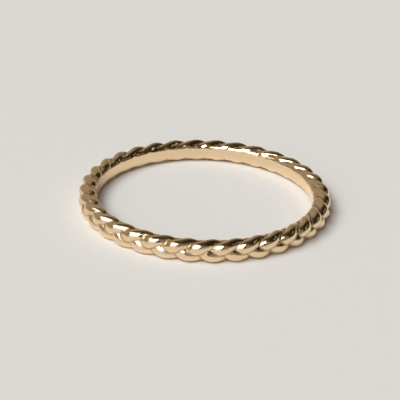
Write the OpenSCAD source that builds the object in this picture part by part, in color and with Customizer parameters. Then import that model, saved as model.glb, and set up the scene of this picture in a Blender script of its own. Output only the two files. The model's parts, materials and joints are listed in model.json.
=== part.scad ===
// A slim gold band ring, lying flat: a smooth finger hole inside, and outside a
// three-strand plait whose crossings look like two rows of overlapping leaves.

/* [Band] */
// Diameter of the smooth finger hole
finger_d = 17.3; // [15.7:0.1:19.8]
// Wall from the finger hole to the outermost leaves
wall = 1.46; // [1.42:0.01:1.5]
// Width of the plain ring under the plait, along the finger
land_w = 1.3; // [1.2:0.02:1.36]
// Rounding of the plain ring's two rims
rim_r = 0.35; // [0.3:0.01:0.4]

/* [Plait] */
// Leaves in each of the two rows, a multiple of three
leaves = 33; // [30:3:33]
// Diameter of one strand
strand_d = 1; // [0.94:0.01:1.06]
// Swing of a strand's centre up and down, along the finger
rise = 0.372; // [0.34:0.002:0.4]
// Swing of a strand's centre in and out
swing = 0.24; // [0.18:0.01:0.28]
// Flattening of the strand's path where it turns back at a rim
crest = 0.03; // [0:0.01:0.11]
// Turn of the whole plait about the finger
start_angle = 2.2; // [0:0.1:10.9]

/* [Detail] */
// Cross-sections for each leaf
leaf_sections = 8; // [4:1:8]
// Points on the leafy outline of a cross-section
outline_points = 21; // [15:2:21]

/* [Hidden] */

bore_r = finger_d / 2;
strand_r = strand_d / 2;
plait_r = bore_r + wall - swing - strand_r;
wall_depth = plait_r - bore_r;
half_w = rise * (1 - crest) + strand_r;
strands = 3;
strand_turn = 360 / strands;
waves = leaves / strands;
leaf_angle = 360 / leaves;

// The outer outline runs this far round a cross-section, either way from straight out
outline_reach = 150;
// Cross-sections lean forward by this much for each degree round the outline, so that
// they follow the leaves and one meets each leaf's highest point
lean = 0.0606;
// Stretch of a strand that can touch one cross-section, and the step along it, as wave phase
near_phase = 36;
phase_step = 3;
// Metal left inside the bore's wall for the bore to cut away
bore_spare = 0.15;
// Sides of the round cutter that makes the finger hole
bore_sides = 180;

function strand_radius(phase) = plait_r + swing * sin(2 * phase);
function strand_height(phase) = rise * (sin(phase) + crest * sin(3 * phase));

// Distance from the plait's middle, out along a ray, to where it leaves a ball on a strand
function ball_exit(ray, phase, turn) =
    let (
        out = strand_radius(phase) * cos(turn) - plait_r,
        along_ring = strand_radius(phase) * sin(turn),
        up = strand_height(phase),
        along_ray = out * cos(ray) + up * sin(ray),
        beside = out * out + along_ring * along_ring + up * up - along_ray * along_ray
    )
    beside < strand_r * strand_r ? along_ray + sqrt(strand_r * strand_r - beside) : 0;

// The same for the plain ring's rounded rim
function land_exit(ray) =
    let (
        inward = wall_depth - rim_r,
        up = land_w / 2 - rim_r,
        along_ray = up * abs(sin(ray)) - inward * cos(ray),
        beside = inward * inward + up * up - along_ray * along_ray
    )
    beside < rim_r * rim_r ? along_ray + sqrt(rim_r * rim_r - beside) : 0;

// The band's surface along a ray in the half-plane at angle theta
function surface_exit(theta, ray) =
    max([
        land_exit(ray),
        for (k = [0 : strands - 1], step = [-near_phase : phase_step : near_phase])
            ball_exit(ray, waves * theta + strand_turn * k + step, step / waves)
    ]);

function section_theta(section, ray) = section * leaf_angle / leaf_sections + lean * abs(ray);

// Outer points of one cross-section, each as [radius, angle within the leaf, height]
function outer_points(section) = [
    for (i = [0 : outline_points - 1])
        let (
            ray = outline_reach * (2 * i / (outline_points - 1) - 1),
            theta = section_theta(section, ray),
            reach = surface_exit(theta, ray)
        )
        [plait_r + reach * cos(ray), theta, reach * sin(ray)]
];

// The two points inside the bore's wall, from top to bottom
function inner_points(section) =
    let (
        theta = section_theta(section, outline_reach),
        spare_r = bore_r - bore_spare,
        spare_z = land_w / 2 - rim_r
    )
    [[spare_r, theta, spare_z], [spare_r, theta, -spare_z]];

function placed(point, turn) =
    [point[0] * cos(point[1] + turn), point[0] * sin(point[1] + turn), point[2]];

module leafy_shell() {
    leaf = [
        for (section = [0 : leaf_sections - 1])
            concat(outer_points(section), inner_points(section))
    ];
    ring = len(leaf[0]);
    sections = leaves * leaf_sections;
    points = [
        for (i = [0 : leaves - 1], section = leaf, point = section)
            placed(point, i * leaf_angle)
    ];
    // Each four-sided patch is split along the leaves' slant, which mirrors at mid-height
    faces = [
        for (i = [0 : sections - 1], j = [0 : ring - 1])
            let (
                a = i * ring + j,
                b = i * ring + (j + 1) % ring,
                c = (i + 1) % sections * ring + (j + 1) % ring,
                d = (i + 1) % sections * ring + j,
                upper = j >= (outline_points - 1) / 2 && j < outline_points
            )
            each upper ? [[a, b, d], [b, c, d]] : [[a, b, c], [a, c, d]]
    ];
    polyhedron(points, faces);
}

module leaf_band() {
    color("goldenrod")
        translate([0, 0, half_w])
            rotate([0, 0, start_angle])
                difference() {
                    leafy_shell();
                    cylinder(h = 2 * half_w, r = bore_r, center = true, $fn = bore_sides);
                }
}

leaf_band();
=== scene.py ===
"""The looks of a slim gold band ring that lies on a pale floor.

Its finger hole is smooth, and its outside is a three-strand plait in relief.
The mesh functions work in millimetres and degrees; the finished mesh is in metres.
"""
import json
import math

import bpy
import numpy as np
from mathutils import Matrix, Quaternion, Vector


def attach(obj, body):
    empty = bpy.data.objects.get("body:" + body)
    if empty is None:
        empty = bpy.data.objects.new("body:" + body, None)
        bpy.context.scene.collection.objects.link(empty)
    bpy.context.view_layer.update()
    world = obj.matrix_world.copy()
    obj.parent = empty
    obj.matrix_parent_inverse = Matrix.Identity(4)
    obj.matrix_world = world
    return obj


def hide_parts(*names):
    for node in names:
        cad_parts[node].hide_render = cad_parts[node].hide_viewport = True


MM = 0.001

# The plait, with the sizes of the part's source
LEAVES = 33
STRANDS = 3
STRAND_R = 0.5
RISE = 0.372
SWING = 0.24
CREST = 0.03
WALL = 1.46
START_ANGLE = 2.2

# The smooth land inside the band, with its rounded rims
LAND_W = 1.3
RIM_R = 0.35

# The leafy outline of a cross-section: how far round it runs, and how finely it is sampled
OUTLINE_REACH = 150
OUTLINE_POINTS = 65
LEAF_SECTIONS = 36
CREASE_PLACE = 3.05
CREASE_CROWDING = 0.55

# Lean of a cross-section for each degree round it, and the further lean near the land
STEADY_LEAN = 0.05
LATE_LEAN = 1.6
LATE_START = 70
LATE_SPAN = 40

# Stretch of a strand that can touch one cross-section, the step along it, and the short
# way ahead that shows where the strand runs, all as wave phase
NEAR_PHASE = 48
PHASE_STEP = 0.5
PHASE_AHEAD = 0.5

# Difference of two strands' reach within which they melt together, and within which their groove is
# dull and browned, partly with patina and partly with painted shade
FILLET = 0.03
GROOVE_W = 0.22

# Jump of the polish lines' place from one strand to the next, so that no two look alike
GRAIN_APART = 5

# Hand-finished unevenness of the strands: its depth, the ray where it starts to fade out,
# and its waves, each as turns round the ring, turns round the outline and phase
UNEVEN = 0.016
FADE_START = 105
UNEVEN_WAVES = ((41, 2.0, 20), (67, -1.4, 100), (29, 3.1, 230), (103, 0.8, 310))

# Points on the last of the land's rounded rim and on the finger hole's wall
RIM_POINTS = 3
WALL_POINTS = 8

# The gold's colours, with the brown of its grooves, partly patina and partly painted shade in the
# creases, and how soon and how far it takes them
GOLD_PALE, GOLD_DEEP = (0.94, 0.74, 0.49, 1), (0.92, 0.71, 0.46, 1)
GROOVE_PATINA_AND_SHADE = (0.26, 0.16, 0.07, 1)
GROOVE_CURVE = 2
GROOVE_SHARE = 0.7

# The polish: roughness between its lines and on them, what a groove adds to it, the lines
# for each metre along the ring and each millimetre across a strand, and the clouds of colour
SMOOTH, LINED = 0.05, 0.12
GROOVE_DULL = 0.3
LINES_ALONG = 500
LINES_ACROSS = 6
CLOUDS_PER_METRE = 420
MIDDLE_LOW, MIDDLE_HIGH = 0.3, 0.7
CLOUD_LOW, CLOUD_HIGH = 0.35, 0.65

# Tiny dents for each metre, their depth beside that of the lines, and the lines' depth
DENTS_PER_METRE = 1800
DENT_SHARE = 0.6
LINE_DEPTH = 0.02

# The sheet of paper: half its width in metres, its fibres and its matt surface
PAPER_HALF = 2
PAPER_DIM, PAPER_PALE = (0.87, 0.861, 0.847, 1), (0.9, 0.891, 0.877, 1)
FIBRES_PER_METRE = 900
PAPER_ROUGHNESS = 0.9
PAPER_SHINE = 0.2

# The camera: height above the horizon, roll, distance and the ring's place in the picture
CAMERA_ELEVATION = 25.5
CAMERA_ROLL = 2.08
CAMERA_DISTANCE = 122
PICTURE_SIZE = 400
PICTURE_SCALE = 12.45
RING_PIXEL = (204.6, 196.6)
SENSOR = 36
NEAREST_SEEN = 5

# Light of the room: its dim wall, then soft patches painted over it one after another,
# each as azimuth, elevation, half-width of its core and of its edge, and light
WALL_LIGHT = 0.26
ROOM_PATCHES = (
    (0, 90, 24, 54, 0.12),
    (105, 42, 28, 58, 0.022),
    (0, -90, 88, 112, 0.47),
    (-140, 35, 5, 45, 0.33),
    (-80, 66, 8, 26, 2.8),
    (-34, 24, 14, 36, 0.9),
    (-150, 78, 14, 30, 0.07),
    (0, 31, 8, 16, 0.04),
)
DIM_LIGHT, BRIGHT_LIGHT = 0.05, 0.7
DIM_TINT, BRIGHT_TINT = (1, 0.78, 0.45, 1), (1, 1, 1, 1)

# The bright window and a narrow gap of light to the ring's right, each as azimuth,
# elevation, width and height in degrees as the ring sees them, and light
WINDOWS = (
    (-40, 50, 46, 32, 4.5),
    (100, 38, 34, 3, 1.1),
)
WINDOW_DISTANCE = 5

# Numbers of the mix node's colour sockets
FIRST_COLOR, SECOND_COLOR, MIXED_COLOR = 6, 7, 2

WAVES = LEAVES / STRANDS
LEAF_ANGLE = 360 / LEAVES
STRAND_TURN = 360 / STRANDS
HALF_W = RISE * (1 - CREST) + STRAND_R


def sin_of(degrees):
    return np.sin(np.radians(degrees))


def cos_of(degrees):
    return np.cos(np.radians(degrees))


def strand_radius(plait_r, phase):
    return plait_r + SWING * sin_of(2 * phase)


def strand_height(phase):
    return RISE * (sin_of(phase) + CREST * sin_of(3 * phase))


def strand_reaches(plait_r, theta, ray):
    """How far each strand reaches along each ray, and the wave phase where it does."""
    steps = np.arange(-NEAR_PHASE, NEAR_PHASE + PHASE_STEP / 2, PHASE_STEP)
    turn = steps / WAVES
    own_turn = STRAND_TURN * np.arange(STRANDS)[:, None]
    phase = WAVES * theta[..., None, None] + own_turn + steps
    ray = ray[..., None, None]
    radius = strand_radius(plait_r, phase)
    out = radius * cos_of(turn) - plait_r
    along_ring = radius * sin_of(turn)
    up = strand_height(phase)
    along_ray = out * cos_of(ray) + up * sin_of(ray)
    beside = out**2 + along_ring**2 + up**2 - along_ray**2
    inside = np.maximum(STRAND_R**2 - beside, 0)
    reach = np.where(inside > 0, along_ray + np.sqrt(inside), 0)
    best = reach.argmax(-1)[..., None]
    reach = np.take_along_axis(reach, best, -1)[..., 0]
    phase = np.take_along_axis(phase, best, -1)[..., 0]
    return reach, phase


def land_reach(depth, ray):
    """How far the land's rounded rim reaches along each ray; its wall is at this depth."""
    inward, up = -cos_of(ray), abs(sin_of(ray))
    centre_in, centre_up = depth - RIM_R, LAND_W / 2 - RIM_R
    along = centre_in * inward + centre_up * up
    beside = centre_in**2 + centre_up**2 - along**2
    inside = np.maximum(RIM_R**2 - beside, 0)
    return np.where(inside > 0, along + np.sqrt(inside), 0)


def soft_max(a, b):
    """The larger of two reaches, with a small fillet where they meet."""
    near = np.maximum(1 - abs(a - b) / FILLET, 0)
    return np.maximum(a, b) + FILLET / 4 * near**2


def section_angles():
    """Angles of one leaf's cross-sections, crowded where the creases run."""
    half_leaf = LEAF_ANGLE / 2
    even = np.arange(LEAF_SECTIONS) * LEAF_ANGLE / LEAF_SECTIONS
    swing = CREASE_CROWDING * half_leaf / (2 * math.pi)
    return even - swing * np.sin(2 * math.pi * (even - CREASE_PLACE) / half_leaf)


def section_lean(ray):
    """How far a cross-section leans forward, so that it follows the creases."""
    late = np.clip((abs(ray) - LATE_START) / LATE_SPAN, 0, 1)
    return STEADY_LEAN * abs(ray) + LATE_LEAN * late**2 * (3 - 2 * late)


def across_strand(plait_r, phase, offset_angle, point):
    """Distance round a strand's own thickness to a point on it, for the polish lines."""

    def centre(p):
        turn = offset_angle + (p - phase) / WAVES
        radius = strand_radius(plait_r, p)
        return np.stack([radius * cos_of(turn), radius * sin_of(turn), strand_height(p)], -1)

    middle = centre(phase)
    along = centre(phase + PHASE_AHEAD) - centre(phase - PHASE_AHEAD)
    along /= np.linalg.norm(along, axis=-1, keepdims=True)
    radial = np.stack([cos_of(offset_angle), sin_of(offset_angle), 0 * phase], -1)
    radial -= along * (along * radial).sum(-1, keepdims=True)
    radial /= np.linalg.norm(radial, axis=-1, keepdims=True)
    side = np.cross(along, radial)
    arm = point - middle
    return STRAND_R * np.arctan2((arm * side).sum(-1), (arm * radial).sum(-1))


def unevenness(theta, ray):
    """How far the strands' surface lies under its perfect shape."""
    waves = [sin_of(turns * theta + across * ray + start) for turns, across, start in UNEVEN_WAVES]
    depth = UNEVEN * (1 + sum(waves) / len(waves)) / 2
    return depth * np.clip((OUTLINE_REACH - abs(ray)) / (OUTLINE_REACH - FADE_START), 0, 1)


def leafy_patch(plait_r, depth):
    """One leaf of the outside: angles, reach, depth into a groove, polish lines and strand."""
    ray = np.linspace(-OUTLINE_REACH, OUTLINE_REACH, OUTLINE_POINTS)
    theta = section_angles()[:, None] + section_lean(ray)
    ray = np.broadcast_to(ray, theta.shape)
    reaches, phases = strand_reaches(plait_r, theta, ray)
    order = np.sort(reaches, -1)
    surface = land_reach(depth, ray)
    for strand in range(STRANDS):
        surface = soft_max(surface, reaches[..., strand])
    groove = np.clip(1 - (order[..., -1] - order[..., -2]) / GROOVE_W, 0, 1)
    radius = plait_r + surface * cos_of(ray)
    points = np.stack(
        [radius * cos_of(theta), radius * sin_of(theta), surface * sin_of(ray)], -1
    )
    strand = reaches.argmax(-1)
    phase = np.take_along_axis(phases, strand[..., None], -1)[..., 0]
    straight_on = WAVES * theta + STRAND_TURN * strand
    grain = across_strand(plait_r, phase, theta + (phase - straight_on) / WAVES, points)
    return theta, ray, surface, groove, grain, strand


def inner_profile(bore_r, depth):
    """The last of the rounded rims and the finger hole's wall, as radius and height."""
    centre_in, centre_up = depth - RIM_R, LAND_W / 2 - RIM_R
    last = land_reach(depth, OUTLINE_REACH)
    first_tilt = math.degrees(math.asin((last * sin_of(OUTLINE_REACH) - centre_up) / RIM_R))
    tilt = np.linspace(first_tilt, 0, RIM_POINTS + 1)[1:]
    rim_r = bore_r + RIM_R - RIM_R * cos_of(tilt)
    rim_z = centre_up + RIM_R * sin_of(tilt)
    wall_z = np.linspace(centre_up, -centre_up, WALL_POINTS)[1:-1]
    radius = np.concatenate([rim_r, np.full(wall_z.shape, bore_r), rim_r[::-1]])
    height = np.concatenate([rim_z, wall_z, -rim_z[::-1]])
    return radius, height


def band_points(bore_r):
    """All points of the band, section by section, with their groove and grain values."""
    plait_r = bore_r + WALL - SWING - STRAND_R
    theta, ray, surface, groove, grain, strand = leafy_patch(plait_r, plait_r - bore_r)
    radius, height = inner_profile(bore_r, plait_r - bore_r)
    inner_theta = np.broadcast_to(theta[:, :1], (len(theta), len(radius)))
    radius = np.broadcast_to(radius, inner_theta.shape)
    height = np.broadcast_to(height, inner_theta.shape)
    groove = np.pad(groove, ((0, 0), (0, inner_theta.shape[1])))
    leaf_theta = np.concatenate([theta, inner_theta], 1)
    points, grooves, grains = [], [], []
    for i in range(LEAVES):
        turn = i * LEAF_ANGLE + START_ANGLE
        reach = surface - unevenness(theta + turn, ray)
        leaf_radius = np.concatenate([plait_r + reach * cos_of(ray), radius], 1)
        leaf_height = np.concatenate([reach * sin_of(ray), height], 1)
        x, y = cos_of(leaf_theta + turn), sin_of(leaf_theta + turn)
        points.append(np.stack([leaf_radius * x, leaf_radius * y, leaf_height], -1))
        grooves.append(groove)
        own = grain + GRAIN_APART * ((strand - i) % STRANDS + 1)
        grains.append(np.concatenate([own, height], 1))
    points = np.concatenate(points)
    points[..., 2] += HALF_W
    return points, np.concatenate(grooves), np.concatenate(grains)


def grid_faces(groove):
    """Triangles of the closed tube of sections, with each patch split along its groove."""
    sections, ring = groove.shape
    a = np.arange(sections)[:, None] * ring + np.arange(ring)
    b = np.roll(a, -1, 1)
    c = np.roll(b, -1, 0)
    d = np.roll(a, -1, 0)
    depth = groove.reshape(-1)
    runs_from_a = depth[a] + depth[c] >= depth[b] + depth[d]
    from_a = np.stack([a, d, c, a, c, b], -1)
    from_b = np.stack([b, a, d, b, d, c], -1)
    return np.where(runs_from_a[..., None], from_a, from_b).reshape(-1, 3)


def make_band(bore_r):
    points, groove, grain = band_points(bore_r)
    faces = grid_faces(groove)
    mesh = bpy.data.meshes.new("plaited_band")
    mesh.from_pydata((points.reshape(-1, 3) * MM).tolist(), [], faces.tolist())
    mesh.shade_smooth()
    for name, values in (("groove", groove), ("grain", grain)):
        layer = mesh.attributes.new(name, "FLOAT", "POINT")
        layer.data.foreach_set("value", values.reshape(-1).astype(np.float32))
    mesh.update()
    band = bpy.data.objects.new("plaited_band", mesh)
    bpy.context.scene.collection.objects.link(band)
    return band


class Nodes:
    """Short ways to add and join shader nodes."""

    def __init__(self, tree):
        self.tree = tree

    def add(self, kind, inputs=(), **settings):
        node = self.tree.nodes.new(kind)
        for name, value in settings.items():
            setattr(node, name, value)
        for name, value in dict(inputs).items():
            if isinstance(value, bpy.types.NodeSocket):
                self.tree.links.new(value, node.inputs[name])
            else:
                node.inputs[name].default_value = value
        return node

    def math(self, operation, *values):
        return self.add("ShaderNodeMath", enumerate(values), operation=operation).outputs[0]

    def remap(self, value, low, high, new_low, new_high, easing="LINEAR"):
        sizes = {
            "Value": value,
            "From Min": low,
            "From Max": high,
            "To Min": new_low,
            "To Max": new_high,
        }
        node = self.add("ShaderNodeMapRange", sizes, interpolation_type=easing)
        return node.outputs["Result"]

    def noise(self, place, scale, detail):
        settings = {"Vector": place, "Scale": scale, "Detail": detail}
        return self.add("ShaderNodeTexNoise", settings).outputs["Fac"]

    def mix_level(self, factor, first, second):
        levels = {"Factor": factor, "A": first, "B": second}
        return self.add("ShaderNodeMix", levels, data_type="FLOAT").outputs["Result"]

    def blend(self, factor, first, second):
        node = self.add("ShaderNodeMix", data_type="RGBA")
        self.tree.links.new(factor, node.inputs["Factor"])
        for number, value in ((FIRST_COLOR, first), (SECOND_COLOR, second)):
            if isinstance(value, bpy.types.NodeSocket):
                self.tree.links.new(value, node.inputs[number])
            else:
                node.inputs[number].default_value = value
        return node.outputs[MIXED_COLOR]


def new_material(name):
    material = bpy.data.materials.new(name)
    material.use_nodes = True
    return material, Nodes(material.node_tree), material.node_tree.nodes["Principled BSDF"]


def gold_material():
    """Polished yellow gold: faint polish lines along the strands, and duller grooves, browned partly
    by patina and partly by painted shade in the creases.
    """
    material, nodes, shader = new_material("polished_gold")
    place = nodes.add("ShaderNodeTexCoord").outputs["Object"]
    split = nodes.add("ShaderNodeSeparateXYZ", {"Vector": place}).outputs
    groove = nodes.add("ShaderNodeAttribute", attribute_name="groove").outputs["Fac"]
    grain = nodes.add("ShaderNodeAttribute", attribute_name="grain").outputs["Fac"]
    line_place = nodes.add(
        "ShaderNodeCombineXYZ",
        {
            "X": nodes.math("MULTIPLY", split["X"], LINES_ALONG),
            "Y": nodes.math("MULTIPLY", split["Y"], LINES_ALONG),
            "Z": nodes.math("MULTIPLY", grain, LINES_ACROSS),
        },
    ).outputs["Vector"]
    lines = nodes.noise(line_place, 1, 1)
    dents = nodes.noise(place, DENTS_PER_METRE, 2)
    clouds = nodes.noise(place, CLOUDS_PER_METRE, 2)
    gold = nodes.blend(
        nodes.remap(clouds, CLOUD_LOW, CLOUD_HIGH, 0, 1), GOLD_PALE, GOLD_DEEP
    )
    # Painted shade: the grooves' brown darkens the creases where shade falls, on top of some real
    # patina there
    patina_and_shade = nodes.math("MULTIPLY", nodes.math("POWER", groove, GROOVE_CURVE), GROOVE_SHARE)
    nodes.tree.links.new(nodes.blend(patina_and_shade, gold, GROOVE_PATINA_AND_SHADE), shader.inputs["Base Color"])
    polish = nodes.remap(lines, MIDDLE_LOW, MIDDLE_HIGH, SMOOTH, LINED)
    dull = nodes.math("MULTIPLY_ADD", groove, GROOVE_DULL, polish)
    nodes.tree.links.new(dull, shader.inputs["Roughness"])
    shader.inputs["Metallic"].default_value = 1
    height = nodes.math("MULTIPLY_ADD", dents, DENT_SHARE, lines)
    bump = nodes.add("ShaderNodeBump", {"Height": height, "Distance": LINE_DEPTH * MM, "Strength": 1})
    nodes.tree.links.new(bump.outputs["Normal"], shader.inputs["Normal"])
    return material


def make_floor():
    """A plain pale sheet of paper under the ring."""
    far = PAPER_HALF
    mesh = bpy.data.meshes.new("paper")
    corners = [(-far, -far, 0), (far, -far, 0), (far, far, 0), (-far, far, 0)]
    mesh.from_pydata(corners, [], [(0, 1, 2, 3)])
    material, nodes, shader = new_material("pale_paper")
    place = nodes.add("ShaderNodeTexCoord").outputs["Object"]
    fibres = nodes.noise(place, FIBRES_PER_METRE, 4)
    nodes.tree.links.new(
        nodes.blend(fibres, PAPER_DIM, PAPER_PALE), shader.inputs["Base Color"]
    )
    shader.inputs["Roughness"].default_value = PAPER_ROUGHNESS
    shader.inputs["Specular IOR Level"].default_value = PAPER_SHINE
    mesh.materials.append(material)
    floor = bpy.data.objects.new("paper", mesh)
    bpy.context.scene.collection.objects.link(floor)


def direction_to(azimuth, elevation):
    """Unit vector towards a place in the room, with azimuth 0 on the camera's side."""
    turn, lift = math.radians(azimuth), math.radians(elevation)
    flat = math.cos(lift)
    return Vector((flat * math.sin(turn), -flat * math.cos(turn), math.sin(lift)))


def make_world():
    """The room round the ring, painted over a dim wall as soft round patches of light."""
    world = bpy.data.worlds.new("studio")
    bpy.context.scene.world = world
    world.use_nodes = True
    nodes = Nodes(world.node_tree)
    toward = nodes.add("ShaderNodeTexCoord").outputs["Generated"]
    level = WALL_LIGHT
    for azimuth, elevation, core, edge, light in ROOM_PATCHES:
        facing = nodes.add(
            "ShaderNodeVectorMath",
            {0: toward, 1: direction_to(azimuth, elevation)},
            operation="DOT_PRODUCT",
        ).outputs["Value"]
        inside = nodes.remap(
            facing, math.cos(math.radians(edge)), math.cos(math.radians(core)), 0, 1, "SMOOTHSTEP"
        )
        level = nodes.mix_level(inside, level, light)
    background = world.node_tree.nodes["Background"]
    warmth = nodes.remap(level, DIM_LIGHT, BRIGHT_LIGHT, 0, 1)
    nodes.tree.links.new(
        nodes.blend(warmth, DIM_TINT, BRIGHT_TINT), background.inputs["Color"]
    )
    nodes.tree.links.new(level, background.inputs["Strength"])


def make_window(azimuth, elevation, width, height, level):
    """A soft rectangular light that looks at the ring."""
    light = bpy.data.lights.new("window", "AREA")
    light.shape = "RECTANGLE"
    light.size = 2 * WINDOW_DISTANCE * math.tan(math.radians(width / 2))
    light.size_y = 2 * WINDOW_DISTANCE * math.tan(math.radians(height / 2))
    light.energy = level * math.pi * light.size * light.size_y
    window = bpy.data.objects.new("window", light)
    bpy.context.scene.collection.objects.link(window)
    outward = direction_to(azimuth, elevation)
    window.location = outward * WINDOW_DISTANCE
    window.rotation_euler = (-outward).to_track_quat("-Z", "Y").to_euler()


def make_camera(centre):
    elevation = math.radians(CAMERA_ELEVATION)
    back = Vector((0, -math.cos(elevation), math.sin(elevation)))
    lens = bpy.data.cameras.new("camera")
    lens.sensor_width = SENSOR
    lens.lens = SENSOR * CAMERA_DISTANCE * PICTURE_SCALE / PICTURE_SIZE
    lens.shift_x = 0.5 - RING_PIXEL[0] / PICTURE_SIZE
    lens.shift_y = RING_PIXEL[1] / PICTURE_SIZE - 0.5
    lens.clip_start = NEAREST_SEEN * MM
    camera = bpy.data.objects.new("camera", lens)
    bpy.context.scene.collection.objects.link(camera)
    camera.location = centre + back * CAMERA_DISTANCE * MM
    camera.rotation_mode = "QUATERNION"
    roll = Quaternion((0, 0, 1), math.radians(CAMERA_ROLL))
    camera.rotation_quaternion = (-back).to_track_quat("-Z", "Y") @ roll
    bpy.context.scene.camera = camera


with open("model.json") as file:
    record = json.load(file)
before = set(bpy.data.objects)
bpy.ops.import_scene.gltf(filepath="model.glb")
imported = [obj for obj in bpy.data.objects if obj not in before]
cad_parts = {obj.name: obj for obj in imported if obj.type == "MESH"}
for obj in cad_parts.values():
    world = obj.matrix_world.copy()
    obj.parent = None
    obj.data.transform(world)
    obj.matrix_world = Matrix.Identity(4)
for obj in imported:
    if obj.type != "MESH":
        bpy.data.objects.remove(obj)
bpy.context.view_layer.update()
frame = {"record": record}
hole = next(m for m in frame["record"]["mounts"] if m["name"] == "finger_hole")

band = make_band(hole["dims"]["r_mm"])
band.data.materials.append(gold_material())
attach(band, "root")
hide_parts("leaf_band")

make_floor()
make_world()
for window in WINDOWS:
    make_window(*window)
make_camera(Vector((0, 0, HALF_W * MM)))
bpy.context.scene.view_settings.view_transform = "Standard"
